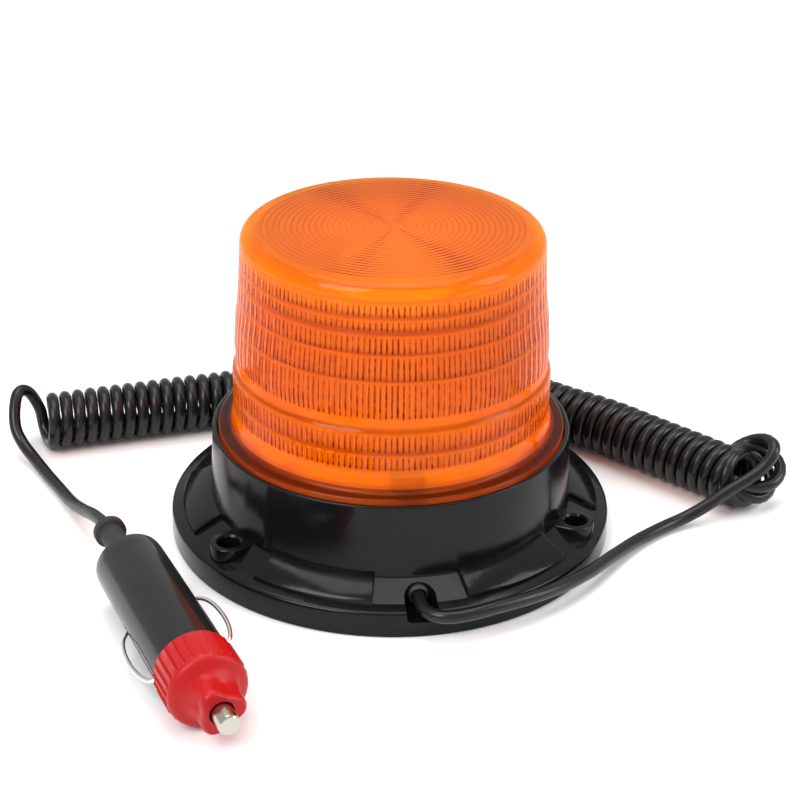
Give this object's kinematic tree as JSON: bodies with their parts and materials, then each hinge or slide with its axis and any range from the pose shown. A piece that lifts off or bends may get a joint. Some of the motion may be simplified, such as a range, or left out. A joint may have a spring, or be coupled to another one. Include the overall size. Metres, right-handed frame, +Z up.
{
  "type": "led warning beacon",
  "caption": "Amber LED warning beacon with a magnetic flanged base, a fluted lens and a curly cord to a 12 V accessory plug.",
  "frame": {"origin": "centre of the base's underside, on the surface it stands on", "axes": "+Z up along the lens axis; the cable slot in the flange faces -Y; +X is to the right when the slot faces the viewer"},
  "size_m": [0.2165, 0.1916, 0.0895],
  "materials": {
    "base_plastic": "black moulded ABS, semi-gloss",
    "soft_rubber": "black rubber, matt",
    "ferrite": "sintered ferrite, dull grey",
    "zinc_steel": "zinc-plated steel",
    "cord_jacket": "black flexible PVC jacket, satin gloss",
    "tie_nylon": "natural nylon",
    "amber_lens": "transparent orange polycarbonate, glossy outside and fluted inside",
    "board_white": "glass-fibre board with white solder mask",
    "tower_aluminium": "plain extruded aluminium",
    "winding": "enamelled copper winding",
    "capacitor_sleeve": "dark blue sleeve",
    "chip_black": "black moulding compound",
    "terminal_green": "green terminal block",
    "wire_red": "red PVC",
    "wire_black": "black PVC",
    "plug_plastic": "black moulded plastic, polished",
    "cap_red": "red moulded plastic, fine grip ribs",
    "nickel": "nickel-plated",
    "fuse_glass": "plated end caps on a glass tube",
    "spring_steel": "spring wire",
    "seat_brass": "stamped brass"
  },
  "bodies": {
    "base": {"base_housing": "base_plastic", "rubber_pad": "soft_rubber", "base_cover": "base_plastic", "magnet_ring": "ferrite", "magnet_back_plate": "zinc_steel", "magnet_bolt": "zinc_steel", "magnet_nut": "zinc_steel", "cover_screw_1": "zinc_steel", "board_screw_1": "zinc_steel", "cover_screw_2": "zinc_steel", "board_screw_2": "zinc_steel", "cover_screw_3": "zinc_steel", "board_screw_3": "zinc_steel", "cable_grommet": "soft_rubber", "cord_inner": "cord_jacket", "cable_tie": "tie_nylon", "lens_seal": "soft_rubber", "circuit_board": "board_white", "tower_core": "tower_aluminium", "led_board_1": "board_white", "led_board_2": "board_white", "led_board_3": "board_white", "led_board_4": "board_white", "led_board_5": "board_white", "led_board_6": "board_white", "led_board_top": "board_white", "inductor": "winding", "capacitor": "capacitor_sleeve", "driver_chip": "chip_black", "wire_terminal": "terminal_green", "supply_wire_positive": "wire_red", "supply_wire_negative": "wire_black", "plug_shell_upper": "plug_plastic", "plug_shell_lower": "plug_plastic", "plug_nose_cap": "cap_red", "plug_tip_spring": "spring_steel", "plug_spring_seat": "seat_brass", "plug_strain_relief": "soft_rubber", "cord_tail_plug": "cord_jacket", "cord_lead_base": "cord_jacket", "cord_coil": "cord_jacket", "cord_lead_plug": "cord_jacket"},
    "lens_body": {"lens": "amber_lens"},
    "tip_body": {"plug_tip_pin": "nickel", "plug_fuse": "fuse_glass"},
    "left_contact_body": {"plug_contact_left": "nickel"},
    "right_contact_body": {"plug_contact_right": "nickel"}
  },
  "joints": [
    {"name": "lens_twist", "type": "hinge", "parent": "base", "child": "lens_body", "pos_m": [0, 0, 0.03], "axis": [0, 0, 1], "range_deg": [0, 25]},
    {"name": "tip_slide", "type": "slide", "parent": "base", "child": "tip_body", "axis": [-0.279, 0.9603, 0], "range_m": [0, 0.003], "stiffness_N_per_m": 1500, "deforming": ["plug_tip_spring"]},
    {"name": "contact_left_press", "type": "slide", "parent": "base", "child": "left_contact_body", "axis": [0.9183, 0.2668, 0.2924], "range_m": [0, 0.0032], "stiffness_N_per_m": 1500},
    {"name": "contact_right_press", "type": "slide", "parent": "base", "child": "right_contact_body", "axis": [-0.9183, -0.2668, -0.2924], "range_m": [0, 0.0032], "stiffness_N_per_m": 1500}
  ]
}
